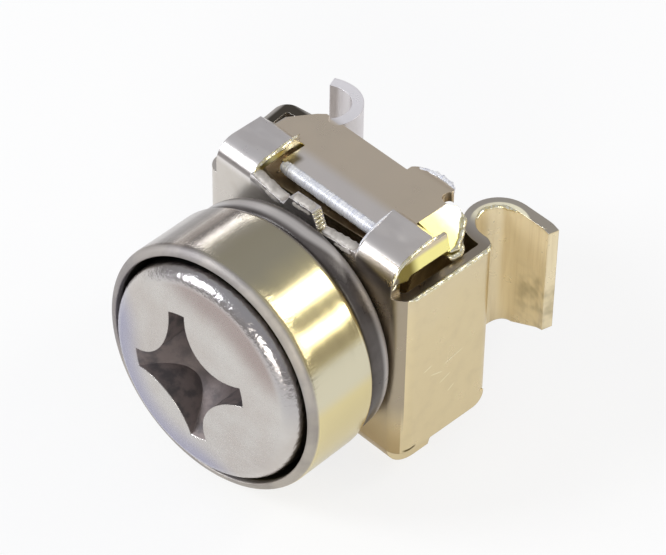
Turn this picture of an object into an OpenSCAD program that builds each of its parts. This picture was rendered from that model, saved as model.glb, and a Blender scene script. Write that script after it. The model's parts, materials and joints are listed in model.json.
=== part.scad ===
// Rack cage nut set: a folded spring-steel cage that snaps into a 9.5 mm square
// rail hole, a loose M6 square nut inside it, and a cross-recess pan screw with a
// cup washer and a backing ring.
// Frame: X across the two lugs, Y along the cage towards the rail, Z up.
// Origin: middle of the square rail hole, in the plane of the lugs' seating faces.

/* [Cage] */
// Thickness of the spring-steel sheet
sheet_t = 0.6; // [0.5:0.05:0.65]
// Width over the front corners of the two side walls
cage_w = 13.7; // [13.5:0.1:14.5]
// Distance from the cage's middle up to the upper tabs
tab_top = 7; // [6.9:0.05:7.5]
// Distance from the cage's middle down to the lower tabs
tab_bottom = 6.8; // [6.8:0.05:7.5]
// Height of the side walls
wall_h = 10.3; // [9.7:0.1:10.5]
// Depth from the base plate's front to the lugs' seating faces
cage_d = 6.25; // [6.1:0.05:6.6]
// Outer radius of the bends between base plate and side walls
wall_bend_r = 0.9; // [0.75:0.05:1.1]
// Diameter of the clearance hole in the base plate
plate_hole_d = 7.6; // [7:0.1:9]
// Rounding of the free corner of each side wall
wall_corner_r = 0.7; // [0.4:0.1:1]
// Outward flare of the left side wall, sprung open by handling
left_flare = 8; // [4:0.5:9]

/* [Flanges] */
// Outer radius of the bends between base plate and upper tabs
tab_bend_top = 1.15; // [0.9:0.05:1.4]
// Outer radius of the bends between base plate and lower tabs
tab_bend_low = 2; // [1.2:0.1:2.2]
// Distance from the cage's middle to a tab's outer edge
tab_reach = 6; // [5.8:0.1:6.2]
// Half width of the slot between the tabs at the bend
slot_front = 3.6; // [3.2:0.1:4]
// Half width of the slot between the tabs at its inner end, on the right
slot_back_right = 3.1; // [2.8:0.1:3.4]
// Half width of the slot between the tabs at its inner end, on the left
slot_back_left = 3.75; // [3.2:0.05:3.8]
// How far the middle of a flange is pressed in below its tabs
tongue_drop = 0.75; // [0.66:0.03:0.84]
// Distance from the base plate's front to the tongue's free edge
tongue_y = 2.1; // [1.8:0.05:2.3]
// Distance from the base plate's front to the end of the tabs' flat part
tab_flat_y = 2.95; // [2.6:0.05:3.1]
// Length of the sloped step from the tabs down to the tongue
joggle_len = 0.7; // [0.5:0.05:0.8]
// Distance from the cage's middle to the crease of the right-hand wings
crease_x = 4; // [3.8:0.1:4.2]
// Distance from the cage's middle to a wing's outer corner
wing_reach = 5.75; // [5.4:0.05:5.8]
// Distance from the cage's middle to the upper right wing's outer corner
wing_reach_right = 6.1; // [5.8:0.05:6.2]
// Downward bend of the upper right wing
wing_bend = 15; // [5:1:16]
// How far the upper right tab's edge is drawn down
skirt_h = 0.9; // [0.65:0.05:0.95]
// How far the drawn-down edge stands out past the tab
skirt_out = 0.24; // [0.1:0.02:0.24]
// Distance from the base plate's front to the flange's rear edge
flange_end = 6; // [5.8:0.05:6.1]
// Radius of the round relief notches beside the ears
notch_r = 0.45; // [0.3:0.05:0.55]
// Length of the flat part of an ear past the flange's rear edge
ear_len = 0.3; // [0.1:0.05:0.4]
// Outer radius of the ears' rounded end
ear_bend_r = 0.9; // [0.75:0.05:1]

/* [Lugs] */
// Height of the lugs at their root
lug_root_h = 9.5; // [9:0.1:9.6]
// Height of the lugs at their tip
lug_tip_h = 6.4; // [5.5:0.1:7.2]
// Width between the groove bottoms, for a 9.5 mm square hole
lug_neck = 9.4; // [9.2:0.05:9.45]
// Width of the groove that takes the rail's sheet
groove_w = 2.4; // [2.2:0.05:2.6]
// Reach of the right lug's last stretch from the groove's middle
right_tip = 2.1; // [1.4:0.1:2.6]
// Reach of the left lug's last stretch from the groove's middle
left_tip = 0.7; // [0.6:0.1:1.8]
// How much further in the left lug sits, which makes up for the wall's flare
left_set_in = 0.8; // [0.5:0.05:0.9]
// Turn of the lugs' last stretch
tip_turn = 14; // [5:1:20]
// Outer radius of the tight bend from side wall to lug
lug_bend_r = 0.75; // [0.7:0.01:0.85]

/* [Nut] */
// Width across the flats of the square nut
nut_w = 10.3; // [9.8:0.1:10.3]
// Thickness of the nut
nut_t = 4; // [3.2:0.1:4]
// Width of the nut's corner chamfer cone where it leaves the front face
nut_cone_d = 11.6; // [11:0.1:13]
// Clearance of the nut's bore over the screw, on the diameter
thread_clear = 0.1; // [0.06:0.02:0.2]

/* [Screw] */
// Outer diameter of the screw's thread
screw_d = 6; // [5.8:0.1:6]
// Length of the screw under its head
screw_len = 10; // [9:0.5:11]
// Diameter of the pan head
head_d = 11.6; // [11:0.1:11.8]
// Height of the pan head
head_h = 4.6; // [4.2:0.1:4.8]
// Rounding of the head's rim
head_round = 0.9; // [0.4:0.1:1.2]
// Radius of the head's domed crown
crown_r = 21; // [18:1:40]
// Distance from the screw's axis to the end of a recess arm
recess_r = 3.7; // [3.2:0.1:3.8]
// Width of the flat end of a recess arm
recess_tip_w = 1.4; // [1.1:0.1:1.6]
// Radius of the curved webs between the recess arms
recess_web_r = 2.8; // [2.5:0.1:3.4]
// Distance from the screw's axis to the nearest point of a web
recess_core = 1.9; // [1.7:0.05:2.2]
// Depth of the cross recess
recess_depth = 3; // [2.4:0.1:3.2]
// How far the recess was punched off centre, to the left
recess_left = 0.5; // [0:0.05:0.6]
// Turn of the cross recess about the screw
recess_turn = 14.7; // [0:0.1:45]

/* [Cup washer and backing ring] */
// Outer diameter of the cup washer
cup_d = 13.3; // [13.1:0.1:14]
// Height of the cup washer
cup_h = 4.4; // [4:0.1:4.8]
// Thickness of the cup washer's wall
cup_t = 0.52; // [0.4:0.04:0.6]
// Thickness of the cup washer's floor
cup_floor = 1.1; // [0.8:0.1:1.3]
// Rounding of the cup washer's lip
cup_round = 0.5; // [0.2:0.05:0.5]
// Outer diameter of the backing ring
ring_d = 12.9; // [12.4:0.1:13]
// Thickness of the backing ring
ring_t = 1.38; // [1.1:0.04:1.5]
// Clearance of cup washer and ring round the screw, on the diameter
washer_clear = 0.6; // [0.4:0.1:1]

/* [Lean of the loose nut and screw] */
// Turn of the screw about the vertical
lean_turn = 4.9; // [3:0.1:5]
// Lift of the screw's head
lean_lift = 3.9; // [3:0.1:4]
// Sideways shift of the nut in the cage
nut_shift = -0.38; // [-0.5:0.02:0]
// Upward shift of the nut in the cage
nut_lift = 0.04; // [0:0.01:0.06]
// Distance from the base plate's front to the nut's middle
nut_y = 3.3; // [3.15:0.01:3.35]
// Roll of the nut about the screw
nut_roll = 1.5; // [0:0.5:2]
// Gap left where the leaning ring comes nearest to the base plate
ring_gap = 0.02; // [0.01:0.01:0.1]

/* [Hidden] */
$fn = 96;
far = 30;
// Overlap of pieces of sheet that are joined end to end
lap = 0.05;

half_w = cage_w / 2;
half_wall = wall_h / 2;
tongue_z = tab_top - tongue_drop;
slot_z = tab_top - 0.6;
slot_low = tab_bottom - 0.9;
joggle_end = tab_flat_y + joggle_len;
wing_y = joggle_end + 0.12;
// Rear free edge of the walls below the lugs
wall_end = cage_d - 0.4;
// Lug curl: a half ring whose inside is the groove
curl_in = groove_w / 2;
curl_x = lug_neck / 2 + curl_in;
curl_y = cage_d + curl_in;
root_low = half_wall - lug_root_h;
tip_low = half_wall - lug_tip_h;
// The lean tips the ring's rim towards the base plate by this much
lean = acos(cos(lean_turn) * cos(lean_lift));
ring_back = (nut_y + ring_gap + ring_d / 2 * sin(lean)) / cos(lean);
cup_back = ring_back + ring_t;
head_seat = cup_back + cup_floor;
// Where the head's rim rounding meets the crown
rim_x = head_d / 2 - head_round;
rim_y = head_h - crown_r + sqrt(pow(crown_r - head_round, 2) - pow(rim_x, 2));
web_at = recess_core + recess_web_r;

// ---------- helpers ----------

// Part of a flat ring between two angles that are less than 180 degrees apart
module arc_band(r_out, r_in, from, to) {
    mid = (from + to) / 2;
    intersection() {
        difference() {
            circle(r_out);
            circle(r_in);
        }
        polygon([
            [0, 0],
            far * [cos(from), sin(from)],
            far * [cos(mid), sin(mid)],
            far * [cos(to), sin(to)]
        ]);
    }
}

// Plan of a bent sheet. Each step is [straight length, turn, radius]: a left turn
// takes the outer radius of the bend, a right turn the inner one, and a fourth
// value laps a straight over the bend before it. The sheet's thickness lies to
// the left of the line that is drawn.
module bent_sheet(steps, at = 0) {
    run = steps[at][0];
    turn = steps[at][1];
    radius = steps[at][2];
    lap = is_undef(steps[at][3]) ? 0 : steps[at][3];
    if (run > 0)
        translate([-lap, 0]) square([run + lap, sheet_t]);
    if (turn > 0)
        translate([run, radius])
            arc_band(radius, radius - sheet_t, -90, turn - 90);
    if (turn < 0)
        translate([run, -radius]) {
            arc_band(radius + sheet_t, radius, 90 + turn / 2, 90);
            arc_band(radius + sheet_t, radius, 90 + turn, 90 + turn / 2);
        }
    if (at + 1 < len(steps)) {
        side = turn > 0 ? 1 : -1;
        translate([run + side * radius * sin(turn), side * radius * (1 - cos(turn))])
            rotate(turn)
                bent_sheet(steps, at + 1);
    }
}

// Rectangle whose corner away from the origin is rounded
module round_corner(w, h, r) {
    square([w - r, h]);
    square([w, h - r]);
    translate([w - r, h - r]) circle(r);
}

// Extrudes an XZ drawing along Y, from y_from over a length
module along_y(y_from, length) {
    translate([0, y_from + length, 0]) rotate([90, 0, 0]) linear_extrude(length) children();
}

// Extrudes a YZ drawing along X, from x_from over a length
module along_x(x_from, length) {
    translate([x_from, 0, 0]) rotate([90, 0, 90]) linear_extrude(length) children();
}

// Puts a piece that is drawn about its own axis, nut middle at the origin and
// head downwards, into the leaning place it has in the cage
module leaning() {
    translate([nut_shift, nut_y - cage_d, nut_lift])
        rotate([-lean_lift, 0, lean_turn])
            rotate([-90, 0, 0])
                children();
}

// ---------- cage ----------

// Side wall and lug on the right; mirrored, it makes the left one. flare turns it
// outwards about the front bend, set_in moves the lug inwards along its flange and
// tip is how far the lug's last stretch reaches out from the groove's middle
module side_wall_and_lug(flare, set_in, tip) {
    bend_x = half_w - wall_bend_r;
    flange_run = half_w - lug_bend_r - curl_x + set_in;
    top_steps = [
        [lap, 90, wall_bend_r],
        [cage_d - wall_bend_r - lug_bend_r, 90, lug_bend_r],
        [flange_run, -180, curl_in],
        [tip - 0.55, -tip_turn, 1],
        [0.35, 0, 0, lap]
    ];
    low_steps = [
        [lap, 90, wall_bend_r],
        [wall_end - wall_bend_r, 0, 0]
    ];
    translate([bend_x, wall_bend_r, 0])
        rotate(-flare)
            translate([0, -wall_bend_r, 0]) {
                // Wall and lug above the lug's root, the lug's lower edge tapered
                difference() {
                    translate([0, 0, root_low])
                        linear_extrude(lug_root_h) translate([-lap, 0]) bent_sheet(top_steps);
                    along_x(-far, 2 * far)
                        polygon([
                            [cage_d, root_low],
                            [curl_y + curl_in, tip_low - 1],
                            [far, tip_low - 1],
                            [far, -far],
                            [cage_d, -far]
                        ]);
                    along_y(curl_y, far)
                        polygon([
                            [curl_x - bend_x - set_in, tip_low - 1],
                            [curl_x - bend_x - set_in + tip, tip_low],
                            [far, tip_low],
                            [far, -far],
                            [curl_x - bend_x - set_in, -far]
                        ]);
                }
                // Wall below the lug's root, with a rounded free corner
                difference() {
                    translate([0, 0, -half_wall])
                        linear_extrude(root_low + half_wall + 0.01)
                            translate([-lap, 0]) bent_sheet(low_steps);
                    along_x(-far, 2 * far)
                        translate([wall_end - wall_corner_r, wall_corner_r - half_wall])
                            difference() {
                                translate([0, -far]) square([far, far]);
                                circle(wall_corner_r);
                            }
                }
            }
}

// Front view of the base plate, with the torn stub in the upper slot
module plate_front() {
    square([2 * (half_w - wall_bend_r), wall_h], center = true);
    translate([-slot_front, -slot_low])
        square([2 * slot_front, slot_low]);
    for (x_from = [-tab_reach, slot_front])
        translate([x_from, tab_bend_low - tab_bottom])
            square([tab_reach - slot_front, tab_top - tab_bend_top + tab_bottom - tab_bend_low]);
    polygon([
        [-slot_front, 0],
        [-slot_front, slot_z + 0.25],
        [-1.3, slot_z - 0.15],
        [-0.9, slot_z + 0.55],
        [0.65, slot_z + 0.6],
        [1.05, slot_z - 0.35],
        [slot_front, slot_z],
        [slot_front, 0]
    ]);
}

// Side view of the top tabs: bend, flat part and sloped step down to the tongue
module tab_side(bend_r) {
    translate([bend_r, tab_top - bend_r])
        arc_band(bend_r, bend_r - sheet_t, 90, 180);
    translate([bend_r, tab_top - sheet_t])
        square([tab_flat_y - bend_r, sheet_t]);
    polygon([
        [tab_flat_y, tab_top],
        [joggle_end, tongue_z],
        [joggle_end, tongue_z - sheet_t],
        [tab_flat_y, tab_top - sheet_t]
    ]);
}

// Plan of one tab, from the bend to the foot of its step
module tab_plan(slot_back) {
    polygon([
        [slot_front, 0],
        [tab_reach, 0],
        [tab_reach, tab_flat_y],
        [wing_reach, joggle_end],
        [slot_back, joggle_end],
        [slot_back, tab_flat_y]
    ]);
}

// Plan of the flange's flat middle
module tongue_plan() {
    translate([-slot_front, tongue_y])
        square([slot_front + slot_back_right, joggle_end - tongue_y]);
    translate([-slot_back_left, joggle_end - 0.01])
        square([slot_back_left + crease_x, flange_end - joggle_end + 0.01]);
}

// Plan of one side wing from y_from on, X measured from the crease
module wing_plan(y_from, corner_x) {
    reach = corner_x - crease_x;
    polygon([
        [-0.4, y_from],
        [reach, y_from],
        [reach, joggle_end + 0.7],
        [reach / 2, flange_end - 0.35],
        [reach * 0.3, flange_end],
        [-0.4, flange_end]
    ]);
}

// Side view of an ear: short flat part and rounded end
module ear_side() {
    translate([flange_end - 0.1, tongue_z - sheet_t])
        square([ear_len + 0.1, sheet_t]);
    translate([flange_end + ear_len, tongue_z - ear_bend_r])
        arc_band(ear_bend_r, ear_bend_r - sheet_t, 20, 90);
}

module ear() {
    intersection() {
        along_x(1, 2.6) ear_side();
        linear_extrude(far)
            polygon([
                [1, 0],
                [1, flange_end + 0.3],
                [1.5, flange_end + 1],
                [2.3, flange_end + 1.2],
                [3.1, flange_end + 1.1],
                [3.6, flange_end + 0.6],
                [3.6, 0]
            ]);
    }
}

// Section of the drawn-down edge of the upper right tab: X across, Y down from
// the tab's top face
module skirt_section() {
    polygon([
        [tab_reach - 0.2, 0.05],
        [tab_reach, 0.05],
        [tab_reach + 0.06, 0.25],
        [tab_reach + skirt_out, skirt_h],
        [tab_reach + skirt_out - 0.2, skirt_h + 0.03],
        [tab_reach - 0.2, 0.5]
    ]);
}

// Edge of the upper right tab, drawn down along its flat part and its bend
module skirt(bend_r) {
    along_y(bend_r, joggle_end - bend_r)
        translate([0, tab_top]) mirror([0, 1]) skirt_section();
    translate([0, bend_r, tab_top - bend_r])
        rotate([0, 90, 0])
            rotate([0, 0, 180])
                rotate_extrude(angle = 90)
                    translate([bend_r, 0]) rotate(90) skirt_section();
}

module flange(bend_r, wing_turn, right_reach) {
    difference() {
        union() {
            intersection() {
                along_x(-half_w, cage_w) tab_side(bend_r);
                linear_extrude(far) {
                    tab_plan(slot_back_right);
                    mirror([1, 0]) tab_plan(slot_back_left);
                }
            }
            translate([0, 0, tongue_z - sheet_t])
                linear_extrude(sheet_t) {
                    tongue_plan();
                    mirror([1, 0]) translate([crease_x, 0]) wing_plan(joggle_end - 0.01, wing_reach);
                }
            translate([crease_x, 0, tongue_z])
                rotate([0, wing_turn, 0])
                    translate([0, 0, -sheet_t])
                        linear_extrude(sheet_t) intersection() {
                            wing_plan(wing_y, right_reach);
                            translate([-0.01, 0]) square(far);
                        }
            ear();
        }
        for (side = [-1, 1])
            translate([side * (crease_x - 0.1), flange_end + 0.1, 0])
                cylinder(h = far, r = notch_r);
    }
}

module cage() {
    color("tan")
        translate([0, -cage_d, 0]) {
            difference() {
                union() {
                    side_wall_and_lug(0, 0, right_tip);
                    mirror([1, 0, 0]) side_wall_and_lug(left_flare, left_set_in, left_tip);
                    along_y(0, sheet_t) plate_front();
                }
                translate([0, -1, 0]) rotate([-90, 0, 0]) cylinder(h = 3, d = plate_hole_d);
            }
            flange(tab_bend_top, wing_bend, wing_reach_right);
            skirt(tab_bend_top);
            translate([0, 0, tab_top - tab_bottom]) mirror([0, 0, 1])
                flange(tab_bend_low, 1, wing_reach);
        }
}

// ---------- nut ----------

module square_nut() {
    color("goldenrod")
        leaning()
            rotate([0, 0, nut_roll])
                difference() {
                    intersection() {
                        cube([nut_w, nut_w, nut_t], center = true);
                        translate([0, 0, -nut_t / 2])
                            cylinder(h = nut_t, d1 = nut_cone_d, d2 = nut_cone_d + 4 * nut_t);
                    }
                    cylinder(h = 2 * nut_t, d = screw_d + thread_clear, center = true);
                }
}

// ---------- screw ----------

// Opening of the cross recess: four arms with flat ends and curved webs between
module cross_plan() {
    half_tip = recess_tip_w / 2;
    difference() {
        polygon([
            [recess_r, -half_tip],
            [recess_r, half_tip],
            [half_tip, recess_r],
            [-half_tip, recess_r],
            [-recess_r, half_tip],
            [-recess_r, -half_tip],
            [-half_tip, -recess_r],
            [half_tip, -recess_r]
        ]);
        for (turn = [45, 135, 225, 315])
            rotate(turn) translate([web_at, 0]) circle(recess_web_r);
    }
}

// Half section of the pan head, height up
module head_section() {
    intersection() {
        translate([0, head_h - crown_r]) circle(crown_r, $fn = 720);
        union() {
            square([rim_x, head_h]);
            square([head_d / 2, rim_y]);
            translate([rim_x, rim_y]) circle(head_round);
        }
    }
}

module screw() {
    color("silver")
        leaning()
            translate([0, 0, -head_seat]) {
                difference() {
                    rotate_extrude() mirror([0, 1]) intersection() {
                        head_section();
                        square([far, far]);
                    }
                    translate([-recess_left, 0, -head_h])
                        rotate([0, 0, -recess_turn])
                            intersection() {
                                translate([0, 0, -1]) linear_extrude(recess_depth + 1) cross_plan();
                                translate([0, 0, -1])
                                    cylinder(h = recess_depth + 1, r1 = recess_r + 1, r2 = recess_core * 0.6);
                            }
                }
                cylinder(h = screw_len, d = screw_d);
            }
}

// ---------- washers ----------

module cup_washer() {
    color("lightgray")
        leaning()
            translate([0, 0, -cup_back])
                mirror([0, 0, 1])
                    rotate_extrude()
                        difference() {
                            round_corner(cup_d / 2, cup_h, cup_round);
                            translate([0, cup_floor]) square([cup_d / 2 - cup_t, cup_h]);
                            square([(screw_d + washer_clear) / 2, cup_h]);
                        }
}

module backing_ring() {
    color("dimgray")
        leaning()
            translate([0, 0, -cup_back])
                rotate_extrude()
                    translate([(screw_d + washer_clear) / 2, 0])
                        square([(ring_d - screw_d - washer_clear) / 2, ring_t]);
}

cage();
square_nut();
screw();
cup_washer();
backing_ring();
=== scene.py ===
"""Rack cage nut: materials, burrs, screw thread, floor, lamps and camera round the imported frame."""
import json
import math
import random

import bmesh
import bpy
from mathutils import Matrix, Quaternion, Vector

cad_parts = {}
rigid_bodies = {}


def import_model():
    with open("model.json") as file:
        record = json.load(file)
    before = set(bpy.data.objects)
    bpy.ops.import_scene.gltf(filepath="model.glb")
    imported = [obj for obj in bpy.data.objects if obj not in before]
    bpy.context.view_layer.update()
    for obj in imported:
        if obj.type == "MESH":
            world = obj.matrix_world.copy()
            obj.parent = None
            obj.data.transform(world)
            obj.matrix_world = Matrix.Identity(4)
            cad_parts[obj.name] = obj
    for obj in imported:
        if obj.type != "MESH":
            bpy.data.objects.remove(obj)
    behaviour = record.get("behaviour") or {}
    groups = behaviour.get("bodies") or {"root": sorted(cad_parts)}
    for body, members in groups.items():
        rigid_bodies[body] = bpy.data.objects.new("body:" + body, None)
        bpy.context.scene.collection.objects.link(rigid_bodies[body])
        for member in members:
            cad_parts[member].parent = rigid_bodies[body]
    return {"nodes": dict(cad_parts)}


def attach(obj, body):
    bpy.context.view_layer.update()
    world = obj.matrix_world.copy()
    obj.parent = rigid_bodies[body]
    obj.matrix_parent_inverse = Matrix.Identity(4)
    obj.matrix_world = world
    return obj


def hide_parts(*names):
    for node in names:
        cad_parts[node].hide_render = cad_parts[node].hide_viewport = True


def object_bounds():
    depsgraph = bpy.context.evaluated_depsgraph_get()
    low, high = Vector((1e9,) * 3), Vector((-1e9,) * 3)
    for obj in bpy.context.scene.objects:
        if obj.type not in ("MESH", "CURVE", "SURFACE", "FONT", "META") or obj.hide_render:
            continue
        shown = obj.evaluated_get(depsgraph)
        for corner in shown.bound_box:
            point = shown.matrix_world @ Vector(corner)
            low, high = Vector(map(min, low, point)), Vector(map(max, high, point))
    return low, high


for leftover in list(bpy.data.objects):
    bpy.data.objects.remove(leftover)

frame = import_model()
CAD = frame["nodes"]
cad_box = [[float(c) for c in corner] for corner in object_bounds()]
MM = 0.001


def srgb(r, g, b):
    """A colour written as 0 to 255 screen values."""
    def lin(v):
        v /= 255.0
        return v / 12.92 if v <= 0.04045 else ((v + 0.055) / 1.055) ** 2.4
    return (lin(r), lin(g), lin(b), 1.0)


# ---------------------------------------------------------------- places, in millimetres

# Right wall of the cage: outer face and upper edge
WALL_X = 6.85
WALL_TOP = 5.15
# Line of the lumpy edges along the upper slot
SLOT_Y = -5.93
# Rounding that the shading gives to sharp edges
EDGE = 0.06

# Regions of the cage, each from its low corner to its high one
FLANGE_MIDDLE = ((-5.7, -4.3, 5.0), (4.1, 0.5, 6.45))
FLANGE_DIP = ((-4.1, -4.4, 5.4), (-2.95, -3.35, 6.45))
SLOT_SIDE = ((-3.95, -6.3, 4.9), (-3.3, -2.4, 7.1))
WING = ((4.02, -2.62, 5.3), (6.3, 0.3, 6.32))
SKIRT = ((5.9, -6.0, 5.4), (6.6, -2.4, 7.1))
LEFT_TAB_SPOT = ((-5.5, -4.2, 6.5), (-4.6, -3.8, 7.5))
RIGHT_TAB_SPOT = ((4.4, -4.6, 6.5), (5.2, -4.2, 7.5))
# Middle of the right lug's curl, seen from above
LUG_MIDDLE = (5.9, 1.2)
# Scratches on the right wall: middle (y, z), angle in degrees and length
WALL_MARKS = [((-2.66, -0.49), 11, 1.5), ((-3.78, -0.91), -17, 1.0), ((-2.75, -2.55), 32, 0.6),
              ((-4.4, -0.2), 14, 0.7), ((-3.2, -1.6), 20, 0.9)]
NICK_AT = (-5.45, -4.98)

# The screw, cup washer and ring lie along one leaning axis through the nut's middle
LEAN_TURN = 4.9
LEAN_LIFT = 3.9
NUT_AT = Vector((-0.38, -2.95, 0.04)) * MM
LEAN = Matrix.Rotation(math.radians(LEAN_TURN), 4, "Z") @ Matrix.Rotation(math.radians(-LEAN_LIFT), 4, "X")
STACK = Matrix.Translation(NUT_AT) @ LEAN @ Matrix.Rotation(math.radians(-90), 4, "X")

# Along that axis, rear positive
HEAD_FRONT = -11.13
CUP_FRONT = -9.83
SEAT = -6.53
CUP_BACK = -5.43
RING_BACK = -4.05
RING_MID = (CUP_BACK + RING_BACK) / 2

# Crown of the head: foremost point, radius, and the ring of the face where it is redrawn
HEAD_TIP = -11.1274
CROWN_R = 21.0
CROWN_IN = 4.6
CROWN_OUT = 5.119
CROWN_REAR = -10.3
# How far the crown falls back for each mm2 of squared radius, as the shading takes it
CROWN_FALL = 1.0 / 41.6
# Radius that holds the whole recess
RECESS_R = 4.35

# M6 thread: root and crest radius, pitch and the shank's end
THREAD_ROOT = 2.46
THREAD_CREST = 2.98
PITCH = 1.0
SHANK_END = 3.47
# Radii between which the plain shank's surface lies
SHANK_IN = 2.0
SHANK_OUT = 3.1


# ---------------------------------------------------------------- colours

# plated cage
SILVER = srgb(212, 206, 198)
STRAW = srgb(226, 209, 168)
TARNISH = srgb(180, 165, 142)
LUG_CREAM = srgb(240, 225, 188)
LUG_STREAK = srgb(200, 178, 134)
LUG_SILVER = srgb(216, 212, 216)
LUG_STAIN = srgb(150, 136, 98)
FLANGE_BROWN = srgb(226, 209, 184)
# painted shade where the flange dips beside the slot
DIP_SHADE = srgb(112, 98, 60)
TAB_PALE = srgb(236, 231, 229)
TAB_WORN = srgb(178, 172, 172)
RIM_FRONT = srgb(152, 142, 132)
RIM_REAR = srgb(186, 181, 176)
RIM_CREAM = srgb(255, 248, 218)
# painted pale sheen on the left lug's rim
RIM_SILVER_SHEEN = srgb(240, 237, 240)
# painted shade inside the left bend
HOLLOW_SHADE = srgb(72, 66, 56)
BARE_PALE = srgb(255, 250, 214)
BARE_YELLOW = srgb(246, 230, 138)
# painted highlight on the wing
WING_GLINT_PALE = srgb(255, 254, 236)
WING_GLINT_YELLOW = srgb(253, 240, 160)
SKIRT_TOP = srgb(214, 200, 172)
# painted shade at the front of the drawn-down edge, painted highlight behind it
SKIRT_SHADE = srgb(132, 118, 62)
SKIRT_HIGHLIGHT = srgb(255, 245, 160)
# straw plating darkened low on the base plate as painted shade
PLATE_STRAW_SHADE = srgb(172, 146, 102)
PLATE_SHADE = srgb(150, 139, 126)
# painted dark reflection under the tabs' bends
BEND_DARK_REFLECTION = srgb(122, 115, 112)
SCRATCH = srgb(250, 240, 205)
NICK = srgb(96, 82, 44)
# edges
CUT_PALE = srgb(253, 250, 232)
CUT_STRAW = srgb(226, 214, 168)
# painted highlight on rolled edges, white to blue-white
ROLLED_GLINT_BLUE = srgb(222, 224, 236)
ROLLED_GLINT_WHITE = srgb(255, 255, 255)
SHEAR_DARK = srgb(172, 166, 159)
SHEAR_LIGHT = srgb(198, 192, 185)
# nut
NUT_LIGHT = srgb(196, 180, 150)
NUT_DARK = srgb(168, 150, 122)
# screw
FACE_LIGHT = srgb(208, 204, 199)
FACE_DARK = srgb(199, 192, 186)
# painted reflections on the head: warm, cool and dark rim
FACE_WARM_REFLECTION = srgb(154, 136, 132)
FACE_COOL_REFLECTION = srgb(168, 167, 187)
HEAD_RIM_DARK_REFLECTION = srgb(160, 158, 164)
# painted shade in the recess
RECESS_SHADE_LIGHT = srgb(122, 110, 108)
RECESS_SHADE_DARK = srgb(82, 77, 79)
RECESS_SHADE_DEEP = srgb(84, 70, 68)
# cup washer
CUP_SILVER = srgb(198, 192, 188)
# painted reflections: warm tones to the right, and a pale highlight
CUP_OLIVE_REFLECTION = srgb(184, 176, 152)
CUP_GOLD_REFLECTION = srgb(224, 210, 160)
CUP_PATCH_HIGHLIGHT = srgb(212, 207, 186)
# painted reflections: dark bands and a paler streak on the cup
CUP_DULL_REFLECTION = srgb(158, 150, 144)
CUP_DARK_REFLECTION = srgb(122, 116, 112)
CUP_STREAK_REFLECTION = srgb(222, 213, 204)
CUP_INSIDE = srgb(58, 52, 48)
# painted shade on the cup's rear edge
CUP_REAR_SHADE = srgb(136, 132, 140)
LIP_DARK = srgb(158, 153, 152)
LIP_LIGHT = srgb(182, 176, 171)
# backing ring
RING_DARK = srgb(74, 68, 65)
RING_LIGHT = srgb(90, 84, 81)
# painted highlight on the ring's crest
RING_CREST_HIGHLIGHT = srgb(188, 183, 180)


# ---------------------------------------------------------------- shader helpers

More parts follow.
